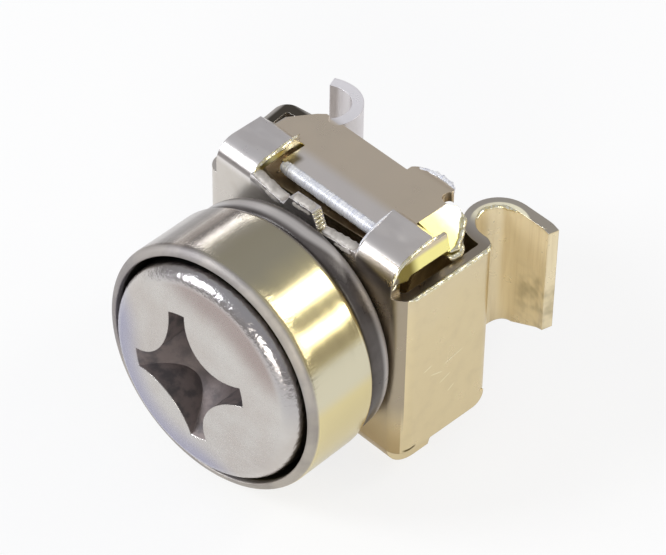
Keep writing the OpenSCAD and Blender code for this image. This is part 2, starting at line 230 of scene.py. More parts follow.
class Graph:
    """A material's node tree with short calls. Lengths and places are in millimetres."""

    def __init__(self, name):
        self.mat = bpy.data.materials.new(name)
        self.mat.use_nodes = True
        self.tree = self.mat.node_tree
        self.tree.nodes.clear()
        self.out = self.add("ShaderNodeOutputMaterial")

    def add(self, kind, **props):
        node = self.tree.nodes.new(kind)
        for key, value in props.items():
            setattr(node, key, value)
        return node

    def link(self, a, b):
        self.tree.links.new(a, b)

    def put(self, socket, value):
        if isinstance(value, bpy.types.NodeSocket):
            self.link(value, socket)
        else:
            socket.default_value = value

    def math(self, op, a, b=0.0, c=0.0):
        n = self.add("ShaderNodeMath", operation=op)
        for i, v in enumerate((a, b, c)):
            self.put(n.inputs[i], v)
        return n.outputs[0]

    def vector(self, op, *inputs):
        n = self.add("ShaderNodeVectorMath", operation=op)
        for i, v in enumerate(inputs):
            self.put(n.inputs[i], v)
        return n.outputs["Value" if op == "DISTANCE" else "Vector"]

    def times(self, *factors):
        out = factors[0]
        for f in factors[1:]:
            out = self.math("MULTIPLY", out, f)
        return out

    def most(self, *masks):
        out = masks[0]
        for m in masks[1:]:
            out = self.math("MAXIMUM", out, m)
        return out

    def mix(self, fac, a, b):
        n = self.add("ShaderNodeMix", data_type="RGBA")
        self.put(n.inputs["Factor"], fac)
        self.put(n.inputs[6], a)
        self.put(n.inputs[7], b)
        return n.outputs[2]

    def over(self, col, paint, *mask):
        """A colour painted over another where the product of the masks is 1."""
        return self.mix(self.times(*mask), col, paint)

    def choose(self, fac, a, b):
        """Mix of two directions."""
        n = self.add("ShaderNodeMix", data_type="VECTOR")
        self.put(n.inputs["Factor"], fac)
        self.put(n.inputs[4], a)
        self.put(n.inputs[5], b)
        return n.outputs[1]

    def span(self, value, lo, hi, to_lo=0.0, to_hi=1.0, smooth=True):
        """A value's range carried to another range and held at its ends."""
        n = self.add("ShaderNodeMapRange", interpolation_type="SMOOTHSTEP" if smooth else "LINEAR")
        self.put(n.inputs["Value"], value)
        for key, v in (("From Min", lo), ("From Max", hi), ("To Min", to_lo), ("To Max", to_hi)):
            n.inputs[key].default_value = v
        return n.outputs["Result"]

    def ramp(self, value, to_lo, to_hi):
        """A noise's middle range carried to another range along a straight line."""
        return self.span(value, 0.3, 0.7, to_lo, to_hi, smooth=False)

    def to_mm(self, vec):
        n = self.add("ShaderNodeVectorMath", operation="SCALE")
        self.link(vec, n.inputs[0])
        n.inputs["Scale"].default_value = 1.0 / MM
        return n.outputs[0]

    def place(self):
        """Position in the part's frame."""
        return self.to_mm(self.add("ShaderNodeTexCoord").outputs["Object"])

    def stack_place(self):
        """Position along the leaning screw: z towards the rear, x to the right, y down."""
        inverse = STACK.inverted()
        n = self.add("ShaderNodeMapping", vector_type="POINT")
        self.link(self.add("ShaderNodeTexCoord").outputs["Object"], n.inputs["Vector"])
        n.inputs["Location"].default_value = inverse.translation
        n.inputs["Rotation"].default_value = inverse.to_euler("XYZ")
        return self.to_mm(n.outputs[0])

    def stretch(self, vec, scale):
        n = self.add("ShaderNodeMapping")
        self.link(vec, n.inputs["Vector"])
        n.inputs["Scale"].default_value = scale
        return n.outputs[0]

    def split(self, vec):
        n = self.add("ShaderNodeSeparateXYZ")
        self.link(vec, n.inputs[0])
        return n.outputs

    def squared_radius(self, x, y):
        return self.math("MULTIPLY_ADD", x, x, self.math("MULTIPLY", y, y))

    def noise(self, vec, scale, detail, rough=0.55):
        n = self.add("ShaderNodeTexNoise")
        self.link(vec, n.inputs["Vector"])
        n.inputs["Scale"].default_value = scale
        n.inputs["Detail"].default_value = detail
        n.inputs["Roughness"].default_value = rough
        return n.outputs["Fac"]

    def bump(self, height, depth, normal=None):
        n = self.add("ShaderNodeBump")
        self.put(n.inputs["Height"], height)
        n.inputs["Distance"].default_value = depth * MM
        n.inputs["Strength"].default_value = 1.0
        if normal is not None:
            self.link(normal, n.inputs["Normal"])
        return n.outputs["Normal"]

    def rounded(self, radius):
        n = self.add("ShaderNodeBevel", samples=6)
        n.inputs["Radius"].default_value = radius * MM
        return n.outputs["Normal"]

    def smooth_normal(self):
        return self.add("ShaderNodeNewGeometry").outputs["Normal"]

    def flat_normal(self):
        return self.add("ShaderNodeNewGeometry").outputs["True Normal"]

    def facing(self, axis, limit, sign=1.0):
        """1 where the face looks along an axis of the part."""
        along = self.math("MULTIPLY", self.split(self.flat_normal())[axis], sign)
        return self.math("GREATER_THAN", along, limit)

    def box(self, p, lo, hi, soft=0.05):
        """1 inside a box, with soft sides."""
        sides = [self.times(self.span(value, a - soft, a + soft), self.span(value, b + soft, b - soft))
                 for value, a, b in zip(self.split(p), lo, hi)]
        return self.times(*sides)

    def stroke(self, u, v, at, angle, length, width):
        """1 along a thin straight mark in the plane of two coordinates."""
        c, s = math.cos(math.radians(angle)), math.sin(math.radians(angle))
        du = self.math("SUBTRACT", u, at[0])
        dv = self.math("SUBTRACT", v, at[1])
        along = self.math("ABSOLUTE", self.math("MULTIPLY_ADD", du, c, self.math("MULTIPLY", dv, s)))
        across = self.math("ABSOLUTE", self.math("MULTIPLY_ADD", dv, c, self.math("MULTIPLY", du, -s)))
        return self.times(self.span(along, length / 2, length / 4), self.span(across, width, width / 4))

    def metal(self, colour, rough, normal, metallic=1.0):
        n = self.add("ShaderNodeBsdfPrincipled")
        self.put(n.inputs["Metallic"], metallic)
        self.put(n.inputs["Base Color"], colour)
        self.put(n.inputs["Roughness"], rough)
        self.link(normal, n.inputs["Normal"])
        self.link(n.outputs[0], self.out.inputs["Surface"])


# ---------------------------------------------------------------- the cage's plating

def gold_share(g, p):
    """0 where the plating is silvery, upper left, to 1 where it is straw coloured, lower right."""
    x, _, z = g.split(p)
    tilt = g.math("MULTIPLY_ADD", z, -0.55, x)
    tilt = g.math("MULTIPLY_ADD", g.noise(p, 0.3, 2), 4.0, tilt)
    return g.span(tilt, -1.5, 8.0)


def paint_lugs(g, col, p, drawn, right):
    """Cream right lug with drawn streaks and a brown stain, silvery left one. Gives the cream share too."""
    x, y, z = g.split(p)
    curl = g.span(y, 0.2, 1.0)
    cream = g.times(curl, right, g.span(z, 5.15, 5.05))
    col = g.over(col, LUG_CREAM, cream)
    col = g.over(col, LUG_STREAK, curl, right, g.span(drawn, 0.45, 0.7, 0.08, 0.3))
    col = g.over(col, LUG_SILVER, curl, g.span(x, 0.0, -2.0), 0.7)
    blotch = g.span(g.noise(p, 0.9, 2), 0.4, 0.7, 0, 0.6)
    col = g.over(col, LUG_STAIN, g.span(z, 2.6, 1.2), blotch, g.span(y, 1.0, 2.0), g.span(x, 5.7, 6.7))
    return col, cream


def paint_flange(g, col, p):
    """Browned middle of the flange, pale tabs, and painted olive shade where the flange dips beside the slot.
    """
    _, y, z = g.split(p)
    col = g.over(col, FLANGE_BROWN, g.box(p, *FLANGE_MIDDLE), 0.75)
    tabs = g.times(g.span(z, 5.9, 6.3), g.span(y, -2.5, -3.3))
    col = g.over(col, TAB_PALE, tabs, 0.8)
    rub = g.span(g.noise(g.stretch(p, (0.5, 1.0, 1)), 0.8, 2), 0.42, 0.62)
    col = g.over(col, TAB_WORN, tabs, g.span(z, 6.8, 6.95), rub, 0.2)
    # painted olive shade in the dip beside the slot
    return g.over(col, DIP_SHADE, g.box(p, *FLANGE_DIP, 0.2), 0.9)


def paint_rims(g, col, p, right):
    """Dull top faces of walls and lugs, painted shade inside the left bend and a painted pale sheen on the
    left lug's rim. Gives the bright ones' share too.
    """
    x, y, z = g.split(p)
    rim = g.times(g.facing(2, 0.7), g.span(z, 5.0, 5.1), g.span(z, 5.3, 5.2))
    grey = g.mix(g.span(y, -0.6, 0.4), RIM_FRONT, RIM_REAR)
    col = g.over(col, grey, rim, right, g.span(y, -0.4, 0.6, 0.85, 0.7))
    from_middle = g.vector("DISTANCE", g.stretch(p, (1, 1, 0)), (*LUG_MIDDLE, 0))
    cream = g.times(rim, right, g.span(y, 0.1, 0.9), g.span(from_middle, 1.5, 1.42))
    col = g.over(col, RIM_CREAM, cream)
    # painted pale sheen on the left lug's rim
    silver = g.times(rim, g.span(y, 0.2, 0.9), g.span(x, -1.0, -2.0))
    col = g.over(col, RIM_SILVER_SHEEN, silver, 0.9)
    # painted shade inside the left bend
    inward = g.math("MULTIPLY_ADD", y, 0.1405, g.math("ADD", x, 7.0))
    hollow_shade = g.times(rim, g.span(inward, -0.52, -0.34), g.span(y, -2.6, -1.7), g.span(y, 0.05, -0.2),
                     g.span(x, -5.5, -5.8))
    return g.over(col, HOLLOW_SHADE, hollow_shade, 0.95), g.most(silver, cream)


def paint_sheared(g, col, p, cloud):
    """Bare faces beside the slot, a painted highlight on the wing, and painted highlight and shade along the
    drawn-down edge. Gives the wing's share too.
    """
    _, y, z = g.split(p)
    bare = g.mix(g.span(cloud, 0.4, 0.62), BARE_PALE, BARE_YELLOW)
    col = g.over(col, bare, g.facing(0, 0.5), g.box(p, *SLOT_SIDE))
    # painted highlight: the wing pale to yellow, on top of its tilted shading
    wing = g.box(p, *WING, 0.04)
    yellow = g.span(g.math("MULTIPLY_ADD", cloud, 1.2, y), 0.0, -1.2)
    col = g.over(col, g.mix(yellow, WING_GLINT_PALE, WING_GLINT_YELLOW), wing)
    # painted shade at the front of the drawn-down edge, painted highlight further back
    lower = g.mix(g.span(y, -5.2, -4.5), SKIRT_SHADE, SKIRT_HIGHLIGHT)
    drawn_down = g.mix(g.span(z, 6.86, 6.66), SKIRT_TOP, lower)
    return g.over(col, drawn_down, g.facing(0, 0.2), g.box(p, *SKIRT)), wing


def paint_front(g, col, p):
    """Painted shade as darker straw low on the base plate and beside the ring, and painted dark reflections
    as lines under the tabs' bright bends.
    """
    x, y, z = g.split(p)
    # painted shade: darker straw low on the base plate
    col = g.over(col, PLATE_STRAW_SHADE, g.facing(1, 0.6, -1.0), g.span(z, -1.0, -5.0), 0.8)
    col = g.over(col, PLATE_SHADE, g.facing(1, 0.56, -1.0), g.span(y, -3.0, -4.0), g.span(x, 3.0, 4.6),
                 g.span(z, -4.0, -1.5), 0.8)
    # painted dark reflections in lines under the tabs' bright bends
    front = g.span(y, -5.75, -5.95)
    under_left = g.times(front, g.span(z, 6.2, 6.3), g.span(z, 6.5, 6.42), g.span(x, -3.0, -3.4))
    under_right = g.times(front, g.span(z, 5.0, 5.6), g.span(z, 6.28, 6.14), g.span(x, 3.2, 3.8))
    return g.over(col, BEND_DARK_REFLECTION, g.most(under_left, under_right), 0.75)


def paint_wall(g, col, p):
    """Light scratches and one dark nick on the right wall. Gives the scratches' share too."""
    x, y, z = g.split(p)
    wall = g.facing(0, 0.7)
    strokes = [g.stroke(y, z, at, angle, length, 0.05) for at, angle, length in WALL_MARKS]
    marks = g.times(wall, g.most(*strokes), g.span(x, 6.0, 6.4))
    col = g.over(col, SCRATCH, marks, 0.7)
    return g.over(col, NICK, wall, g.stroke(y, z, NICK_AT, 4, 0.9, 0.1)), marks


def cage_normal(g, p, fine, drawn, marks, wing):
    """Fine relief on rounded edges, level faces kept level, the wing dished and the tabs dented a little."""
    relief = g.math("MULTIPLY_ADD", fine, 0.2, g.math("MULTIPLY", drawn, 0.8))
    relief = g.math("SUBTRACT", relief, g.math("MULTIPLY", marks, 1.5))
    level = g.times(g.facing(2, 0.999), g.span(g.split(p)[2], 5.5, 5.6))
    normal = g.bump(relief, 0.005, g.choose(level, g.rounded(EDGE), g.flat_normal()))
    spots = g.most(g.box(p, *LEFT_TAB_SPOT, 0.4), g.box(p, *RIGHT_TAB_SPOT, 0.4))
    spots = g.times(spots, g.span(g.noise(g.stretch(p, (1.5, 0.6, 1)), 1.3, 1), 0.25, 0.6, 0.35, 1))
    tilt = g.add("ShaderNodeCombineXYZ")
    g.put(tilt.inputs[0], g.math("MULTIPLY_ADD", wing, 0.36, g.math("MULTIPLY", spots, 0.42)))
    g.put(tilt.inputs[1], g.math("MULTIPLY", spots, 0.08))
    return g.vector("NORMALIZE", g.vector("ADD", normal, tilt.outputs[0]))


def spring_steel():
    g = Graph("spring_steel")
    p = g.place()
    cloud = g.noise(p, 0.9, 4)
    fine = g.noise(p, 6, 3)
    drawn = g.noise(g.stretch(p, (2.2, 2.2, 0.12)), 2.0, 3)
    right = g.span(g.split(p)[0], 0.0, 2.0)
    col = g.mix(gold_share(g, p), SILVER, STRAW)
    col = g.over(col, TARNISH, g.span(cloud, 0.45, 0.8, 0, 0.14))
    col, cream = paint_lugs(g, col, p, drawn, right)
    col = paint_flange(g, col, p)
    col, bright_rims = paint_rims(g, col, p, right)
    col, wing = paint_sheared(g, col, p, cloud)
    col = paint_front(g, col, p)
    col, marks = paint_wall(g, col, p)
    metallic = g.math("MULTIPLY_ADD", g.most(bright_rims, cream), -0.6, 1.0)
    g.metal(col, g.ramp(cloud, 0.26, 0.36), cage_normal(g, p, fine, drawn, marks, wing), metallic)
    return g.mat


# ---------------------------------------------------------------- the other materials

def cut_edge():
    """Bright sheared metal, ragged at a fine scale."""
    g = Graph("cut_edge")
    fine = g.noise(g.place(), 7, 3)
    g.metal(g.mix(g.span(fine, 0.35, 0.65), CUT_PALE, CUT_STRAW), 0.24, g.bump(fine, 0.008))
    return g.mat


def rolled_edge():
    """Pale edge, white to blue-white as a painted highlight, with fine marks across it."""
    g = Graph("rolled_edge")
    marks = g.noise(g.stretch(g.place(), (9, 1.0, 1.0)), 2.0, 4, 0.7)
    col = g.mix(g.span(marks, 0.35, 0.65), ROLLED_GLINT_BLUE, ROLLED_GLINT_WHITE)
    g.metal(col, g.ramp(marks, 0.3, 0.42), g.bump(marks, 0.03), 0.35)
    return g.mat


def sheared_edge():
    """Dull grey, lumpy edge left by the shear."""
    g = Graph("sheared_edge")
    lumps = g.noise(g.place(), 2.6, 4, 0.6)
    g.metal(g.mix(g.span(lumps, 0.35, 0.65), SHEAR_DARK, SHEAR_LIGHT), 0.52, g.bump(lumps, 0.03), 0.35)
    return g.mat


def nut_steel():
    g = Graph("nut_steel")
    p = g.place()
    cloud = g.noise(p, 1.1, 4)
    col = g.mix(g.span(cloud, 0.3, 0.7), NUT_LIGHT, NUT_DARK)
    g.metal(col, g.ramp(cloud, 0.24, 0.36), g.bump(g.noise(p, 18, 3), 0.006, g.rounded(EDGE)))
    return g.mat


def screw_steel():
    g = Graph("screw_steel")
    p = g.stack_place()
    fine = g.noise(p, 9, 4, 0.65)
    x, y, z = g.split(p)
    r2 = g.squared_radius(x, y)
    r = g.math("SQRT", r2)
    col = g.mix(g.span(g.noise(p, 0.5, 4), 0.3, 0.7), FACE_LIGHT, FACE_DARK)
    # painted reflections: a warm one along the upper side of the face, a dark one on the upper rim, a cool
    # one round the lower left
    upper = g.math("MULTIPLY_ADD", x, 0.4, g.math("MULTIPLY", y, -1.0))
    band = g.times(g.span(r, 3.4, 4.7), g.span(r, 5.3, 5.0))
    col = g.over(col, FACE_WARM_REFLECTION, band, g.span(upper, 2.8, 4.8), 0.65)
    col = g.over(col, HEAD_RIM_DARK_REFLECTION, g.span(r, 5.0, 5.4), g.span(upper, 1.6, 4.2), 0.5)
    side = g.math("SUBTRACT", x, y)
    col = g.over(col, FACE_COOL_REFLECTION, g.span(r, 3.0, 5.1), g.span(side, -1.6, -4.6), 0.9)
    # painted shade in the recess, mottled, lighter near its mouth and darker with depth
    depth = g.math("SUBTRACT", z, g.math("MULTIPLY_ADD", r2, CROWN_FALL, HEAD_FRONT))
    deep = g.times(g.span(depth, 0.01, 0.07), g.math("LESS_THAN", r, RECESS_R),
                   g.math("LESS_THAN", z, SEAT - 1.0))
    recess_shade = g.mix(g.span(g.noise(p, 1.6, 4), 0.38, 0.66), RECESS_SHADE_LIGHT, RECESS_SHADE_DARK)
    recess_shade = g.over(recess_shade, RECESS_SHADE_DEEP, g.span(depth, 0.8, 2.6, 0, 0.6))
    col = g.over(col, recess_shade, deep, 0.95)
    # the rim is smoother than the face and lightly dented
    rim = g.span(r, 4.9, 5.2)
    rough = g.math("MULTIPLY_ADD", deep, 0.25, g.ramp(fine, 0.22, 0.34))
    rough = g.math("MULTIPLY_ADD", rim, -0.09, rough)
    normal = g.choose(g.math("LESS_THAN", r, RECESS_R + 0.1), g.smooth_normal(), g.rounded(EDGE))
    normal = g.bump(g.times(g.noise(p, 2.6, 3), rim), 0.045, normal)
    g.metal(col, rough, g.bump(fine, 0.012, normal), g.math("MULTIPLY_ADD", deep, -0.65, 1.0))
    return g.mat


def cup_steel():
    g = Graph("cup_steel")
    p = g.stack_place()
    cloud = g.noise(p, 0.45, 4)
    turned = g.noise(g.stretch(p, (0.15, 0.15, 3.0)), 3.0, 4)
    rub = g.noise(g.stretch(p, (2.4, 2.4, 0.5)), 2.5, 4, 0.65)
    x, y, z = g.split(p)
    r = g.math("SQRT", g.squared_radius(x, y))
    # painted reflections: silvery on the left to golden on the right, with a painted pale highlight low on
    # the right
    drift = g.math("MULTIPLY_ADD", cloud, 1.4, x)
    col = g.mix(g.span(drift, -1.6, 0.8), CUP_SILVER, CUP_OLIVE_REFLECTION)
    col = g.over(col, CUP_GOLD_REFLECTION, g.span(drift, 2.0, 4.6))
    col = g.over(col, CUP_PATCH_HIGHLIGHT, g.span(x, 3.0, 4.5), g.span(y, -3.5, -2.9), g.span(y, -0.8, -1.7), 0.8)
    # painted reflections: dull dark bands left of the top, with a paler streak between them
    top = g.math("LESS_THAN", y, 0.0)
    col = g.over(col, CUP_DULL_REFLECTION, top, g.span(drift, -4.5, -3.9), g.span(drift, -0.8, -1.4), 0.8)
    col = g.over(col, CUP_DARK_REFLECTION, top, g.span(x, -4.2, -3.85), g.span(x, -3.05, -3.4), 0.75)
    col = g.over(col, CUP_STREAK_REFLECTION, top, g.span(x, -3.1, -2.85), g.span(x, -2.1, -2.5), 0.8)
    # matt front lip, rubbed at its edge
    lip = g.times(g.span(z, CUP_FRONT + 0.42, CUP_FRONT + 0.25), g.span(r, 5.7, 6.0))
    col = g.over(col, g.mix(g.span(cloud, 0.35, 0.65), LIP_DARK, LIP_LIGHT), lip, 0.9)
    # unlit inside, and painted shade on the turned-in rear edge beside the ring
    inside = g.times(g.math("LESS_THAN", r, 6.3), g.span(z, CUP_FRONT + 0.2, CUP_FRONT + 0.5))
    col = g.over(col, CUP_INSIDE, inside, 0.9)
    rear = g.times(g.span(z, CUP_BACK - 0.42, CUP_BACK - 0.2), g.span(x, 4.4, 2.8))
    col = g.over(col, CUP_REAR_SHADE, rear, 0.7)
    rough = g.math("MULTIPLY_ADD", lip, 0.4, g.ramp(turned, 0.13, 0.21))
    rough = g.math("MULTIPLY_ADD", rear, 0.15, g.math("MULTIPLY_ADD", inside, 0.3, rough))
    relief = g.math("MULTIPLY_ADD", turned, 0.4, g.noise(p, 15, 3))
    relief = g.math("MULTIPLY_ADD", g.times(rub, g.span(z, -8.6, CUP_FRONT + 0.4)), 5.0, relief)
    g.metal(col, rough, g.bump(relief, 0.004))
    return g.mat


def ring_polymer():
    g = Graph("ring_polymer")
    p = g.stack_place()
    cloud = g.noise(p, 0.7, 4)
    x, _, z = g.split(p)
    # painted highlight: the pale crest sits on the middle of the rim and moves back on the right
    z = g.math("SUBTRACT", z, g.span(x, 1.0, 3.6, 0, 0.5))
    fade = g.most(g.span(z, RING_MID + 0.35, RING_MID + 0.05), g.span(x, 1.5, 3.6))
    crest_highlight = g.times(g.span(z, RING_MID - 0.5, RING_MID - 0.15), fade)
    col = g.mix(g.span(cloud, 0.3, 0.7), RING_DARK, RING_LIGHT)
    col = g.over(col, RING_CREST_HIGHLIGHT, crest_highlight, 0.9)
    g.metal(col, g.ramp(cloud, 0.26, 0.36), g.bump(g.noise(p, 12, 3), 0.008), 0.25)
    return g.mat


MATS = {
    "cage": spring_steel(),
    "square_nut": nut_steel(),
    "screw": screw_steel(),
    "cup_washer": cup_steel(),
    "backing_ring": ring_polymer(),
}
for node, mat in MATS.items():
    for slot in CAD[node].material_slots:
        slot.material = mat


# ---------------------------------------------------------------- burrs and rolled edges

CUT = cut_edge()
ROLL = rolled_edge()
SHEAR = sheared_edge()
BURR_SIDES = 7


def mesh_piece(name, verts, faces, mat, smooth=True):
    me = bpy.data.meshes.new(name)
    me.from_pydata([Vector(v) * MM for v in verts], [], faces)
    me.update()
    bm = bmesh.new()
    bm.from_mesh(me)
    bmesh.ops.recalc_face_normals(bm, faces=bm.faces)
    bm.to_mesh(me)
    bm.free()
    me.materials.append(mat)
    for poly in me.polygons:
        poly.use_smooth = smooth
    o = bpy.data.objects.new(name, me)
    bpy.context.scene.collection.objects.link(o)
    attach(o, "root")
    return o


def tube_faces(rows, sides):
    """Faces of a closed tube whose sections follow each other in the list of points."""
    faces = []
    for i in range(rows):
        for k in range(sides):
            a, b = i * sides + k, i * sides + (k + 1) % sides
            faces.append((a, b, b + sides, a + sides))
    faces.append(tuple(range(sides)))
    faces.append(tuple(range(rows * sides, (rows + 1) * sides)))
    return faces


def resample(points, step):
    pts = [Vector(p) for p in points]
    out = [pts[0]]
    for a, b in zip(pts, pts[1:]):
        n = max(1, int(round((b - a).length / step)))
        out += [a.lerp(b, (i + 1) / n) for i in range(n)]
    return out


def turn(u, v, radius, a0, a1, n=10):
    """Points on a circle round (u, v) from one angle to another, in degrees."""
    angles = [math.radians(a0 + (a1 - a0) * i / n) for i in range(n + 1)]
    return [(u + radius * math.cos(a), v + radius * math.sin(a)) for a in angles]


def on_wall_top(points):
    return [(x, y, WALL_TOP) for x, y in points]


def burr(name, points, radius, seed, mat, step=0.07, rag=0.45, taper=0.25, wander=0.02):
    """Ragged bead of turned-over metal along a line."""
    rng = random.Random(seed)
    path = resample(points, step)
    total = len(path) - 1
    size, drift = [], []
    level, off = 1.0, Vector((0, 0, 0))
    for i in range(total + 1):
        # the thickness wanders and is drawn back to 1
        level += rng.uniform(-rag, rag) * 0.6 + (1.0 - level) * 0.35
        level = min(1.7, max(0.35, level))
        off = off * 0.6 + Vector((rng.uniform(-1, 1), rng.uniform(-1, 1), rng.uniform(-1, 1))) * wander
        t = i / total
        end = min(1.0, t / taper, (1.0 - t) / taper)
        size.append(radius * level * (0.2 + 0.8 * end))
        drift.append(off.copy())
    verts = []
    for i, p in enumerate(path):
        d = (path[min(i + 1, total)] - path[max(i - 1, 0)]).normalized()
        u = d.cross(Vector((0, 0, 1)))
        if u.length < 0.1:
            u = d.cross(Vector((0, 1, 0)))
        u.normalize()
        v = u.cross(d)
        for k in range(BURR_SIDES):
            a = 2 * math.pi * k / BURR_SIDES
            verts.append(p + drift[i] + (u * math.cos(a) + v * math.sin(a)) * size[i])
    mesh_piece(name, verts, tube_faces(total, BURR_SIDES), mat)


# outer edge of the right wall's top, round both of its bends
burr("wall_burr",
     on_wall_top(turn(5.95, -5.35, 0.9, -28, 0, 5) + [(WALL_X, -0.75)] + turn(6.10, -0.75, 0.75, 0, 50, 6)),
     0.12, 3, CUT, step=0.13, rag=0.16, taper=0.08, wander=0.006)
# groove and tip of the right lug
burr("right_lug_burr", on_wall_top(turn(*LUG_MIDDLE, 1.14, 215, 88, 20)),
     0.11, 5, CUT, step=0.13, rag=0.2, taper=0.2)
burr("right_tip_burr", [(7.35, 2.42, WALL_TOP), (7.75, 2.52, 5.1), (8.12, 2.62, 4.9)], 0.06, 8, CUT, rag=0.6)
# slot sides of the two upper tabs, and the front end of the drawn-down edge
burr("left_tab_burr",
     [(-4.28, -2.35, 6.36), (-4.0, -2.85, 6.68), (-3.7, -3.5, 6.98), (-3.62, -4.45, 7.0),
      (-3.56, -5.35, 6.98), (-3.5, -5.98, 6.86), (-3.48, -6.14, 6.42)],
     0.11, 11, CUT, step=0.16, rag=0.25, taper=0.2, wander=0.015)
# its white rolled material is a painted highlight
burr("right_tab_burr",
     [(3.6, -6.17, 6.3), (3.58, -5.9, 6.76), (3.5, -5.35, 6.98), (3.36, -4.6, 7.0), (3.14, -3.4, 7.0)],
     0.06, 12, ROLL, rag=0.25, taper=0.3, wander=0.008)
burr("front_corner_burr", [(5.85, -6.2, 5.35), (6.02, -6.12, 5.6), (6.08, -5.98, 5.95)],
     0.08, 13, CUT, taper=0.5)
# lumpy edges of the slot in the base plate
burr("slot_edge_left", [(-3.56, SLOT_Y, 6.5), (-2.6, SLOT_Y, 6.32), (-1.36, SLOT_Y, 6.1)],
     0.36, 14, SHEAR, step=0.12, rag=0.09, taper=0.06, wander=0.03)
burr("slot_edge_stub", [(-0.86, SLOT_Y, 6.72), (-0.1, SLOT_Y, 6.76), (0.66, SLOT_Y, 6.76)],
     0.35, 15, SHEAR, step=0.12, rag=0.09, taper=0.12, wander=0.03)
burr("slot_edge_right", [(1.12, SLOT_Y, 5.9), (2.2, SLOT_Y, 6.02), (3.5, SLOT_Y, 6.22)],
     0.36, 16, SHEAR, step=0.12, rag=0.09, taper=0.06, wander=0.03)
# torn end of the upper right ear, and the wing's edge beside it
# white rolled material: painted highlight on the ear's end
burr("ear_burr",
     [(1.15, -0.1, 6.16), (1.5, 0.5, 6.02), (2.2, 0.72, 5.94), (2.8, 0.76, 5.92),
      (3.3, 0.56, 6.0), (3.6, 0.3, 6.1)],
     0.18, 17, ROLL, rag=0.35, taper=0.25, wander=0.03)
burr("wing_burr",
     [(6.08, -2.45, 5.72), (6.12, -1.95, 5.7), (5.62, -1.15, 5.84), (5.1, -0.52, 5.97), (4.75, -0.3, 6.02)],
     0.15, 18, CUT, step=0.12, rag=0.25, taper=0.15, wander=0.02)
# outer edge of the upper right tab, where it is drawn down
burr("skirt_lip",
     [(5.85, -2.98, 7.0), (5.88, -3.6, 7.01), (5.95, -4.4, 7.01), (6.02, -5.1, 6.99),
      (6.06, -5.5, 6.92), (6.08, -5.89, 6.68), (6.08, -6.12, 6.37), (6.05, -6.22, 5.9)],
     0.1, 21, CUT, step=0.16, rag=0.16, taper=0.12, wander=0.01)
# bead between wing and wall, which also closes a see-through sliver there
burr("wing_lip", [(6.02, -2.6, 5.5), (6.2, -2.3, 5.36), (6.22, -1.92, 5.38), (5.95, -1.45, 5.6)],
     0.2, 19, CUT, step=0.12, rag=0.12, taper=0.2, wander=0.01)


def tongue_roll():
    """Half-round edge of the upper tongue, with fine ribs across it, white as a painted highlight."""
    rng = random.Random(21)
    x0, x1, y, z, radius = -3.52, 3.05, -4.12, 5.93, 0.37
    ribs, fade = 220, 12
    angles = [math.radians(a) for a in range(70, 291, 20)]
    profile = [(math.cos(a) * 0.95, math.sin(a)) for a in angles]
    verts, faces = [], []
    level = 0.0
    for i in range(ribs + 1):
        x = x0 + (x1 - x0) * i / ribs
        level = level * 0.5 + rng.uniform(-0.016, 0.016)
        end = min(1.0, 0.75 + 0.25 * min(i, ribs - i) / fade)
        verts += [(x, y + c * (radius + level) * end, z + s * (radius + level) * end) for c, s in profile]
    m = len(profile)
    for i in range(ribs):
        for k in range(m - 1):
            a = i * m + k
            faces.append((a, a + 1, a + 1 + m, a + m))
        faces.append((i * m, (i + 1) * m, (i + 1) * m + m - 1, i * m + m - 1))
    faces.append(tuple(range(m)))
    faces.append(tuple(range(ribs * m, (ribs + 1) * m)))
    mesh_piece("tongue_roll", verts, faces, ROLL)


def stub_ribs():
    """Shear marks on the broken end of the stub in the upper slot."""
    top, bottom = Vector((0.67, -6.25, 6.98)), Vector((1.05, -6.25, 6.02))
    for i in range(5):
        p = top.lerp(bottom, 0.12 + 0.19 * i)
        line = [p + Vector((0.02, 0.0, 0)), p + Vector((0.05, 0.3, 0.02)), p + Vector((0.02, 0.6, 0))]
        burr("stub_rib_%d" % (i + 1), line, 0.085, 31 + i, CUT, step=0.06, rag=0.3, taper=0.3)


# ---------------------------------------------------------------- turned pieces and thread

LATHE_STEPS = 160
THREAD_STEPS = 56


def in_stack(point):
    """From millimetres along the leaning screw to millimetres in the frame."""
    return (STACK @ (Vector(point) * MM)) / MM


def lathe(name, profile, mat):
    """Closed profile of (radius, place along the screw) turned about the leaning screw."""
    verts, faces, m = [], [], len(profile)
    for i in range(LATHE_STEPS):
        a = 2 * math.pi * i / LATHE_STEPS
        verts += [in_stack((r * math.cos(a), r * math.sin(a), z)) for r, z in profile]
    for i in range(LATHE_STEPS):
        for k in range(m):
            j, l = (i + 1) % LATHE_STEPS, (k + 1) % m
            faces.append((i * m + k, i * m + l, j * m + l, j * m + k))
    return mesh_piece(name, verts, faces, mat)


def turned_cup():
    """The cup washer with its lip and its rear edge rounded."""
    outer, inner, bore, lip, back = 6.65, 6.13, 3.3, 0.5, 0.45
    profile = [(bore, SEAT), (bore, CUP_BACK), (4.8, CUP_BACK)]
    profile += turn(outer - back, CUP_BACK - back, back, 90, 0)
    profile += [(outer, -6.6), (outer, -7.6), (outer, -8.6)]
    profile += turn(outer - lip, CUP_FRONT + lip, lip, 0, -84)
    profile += [(inner + 0.03, CUP_FRONT + 0.02), (inner, CUP_FRONT + 0.08), (inner, -8.2)]
    profile += [(inner, SEAT - 0.25), (inner - 0.08, SEAT - 0.07), (inner - 0.25, SEAT)]
    cup = lathe("cup_washer_turned", profile, MATS["cup_washer"])
    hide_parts("cup_washer")


